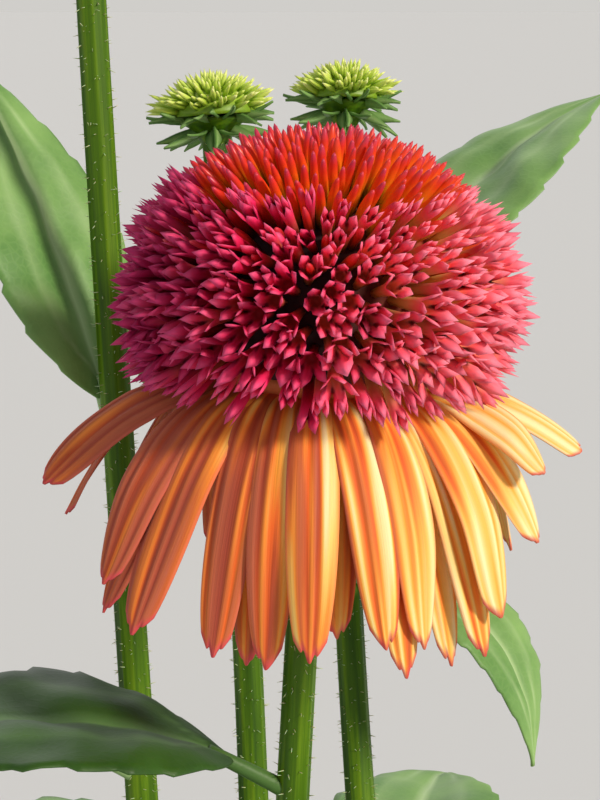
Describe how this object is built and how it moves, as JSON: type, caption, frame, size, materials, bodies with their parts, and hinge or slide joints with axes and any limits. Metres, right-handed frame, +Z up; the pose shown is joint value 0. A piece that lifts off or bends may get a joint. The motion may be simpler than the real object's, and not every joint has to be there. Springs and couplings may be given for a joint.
{
  "type": "potted coneflower",
  "caption": "Double coneflower in a clay pot of compost: toothed leaves, young spiky green heads, and an open bloom of drooping orange rays under a crimson pompon with a red-orange cap.",
  "frame": {"origin": "centre of the flat foot of the pot", "axes": "+Z up the plant; -Y towards the viewer, the side that the open bloom stands on; +X to the viewer's right"},
  "size_m": [0.2651, 0.2767, 0.4545],
  "materials": {
    "terracotta": "unglazed, matt, a little mottled",
    "compost": "moist crumbs of peat and bark",
    "leaf_green": "living green leaf and stem, satin, with fine bristles",
    "ray_orange": "living petal, soft satin, orange with salmon edges and yellow ribs",
    "floret_crimson": "living floret, soft satin, crimson pink",
    "spike_red": "living stiff spike, waxy, red-orange with crimson tips",
    "bud_green": "living young head, waxy yellow-green"
  },
  "bodies": {
    "root": {"bloom_spike_cap": "spike_red", "bloom_floret_pompon": "floret_crimson", "bloom_ray_skirt": "ray_orange", "stem_main": "leaf_green", "bud_left": "bud_green", "stem_left": "leaf_green", "bud_right": "bud_green", "stem_right": "leaf_green", "bud_tall": "bud_green", "stem_tall": "leaf_green", "leaf_basal_1": "leaf_green", "leaf_basal_2": "leaf_green", "leaf_basal_3": "leaf_green", "leaf_basal_4": "leaf_green", "leaf_basal_5": "leaf_green", "leaf_basal_6": "leaf_green", "pot": "terracotta", "soil": "compost"}
  },
  "joints": []
}
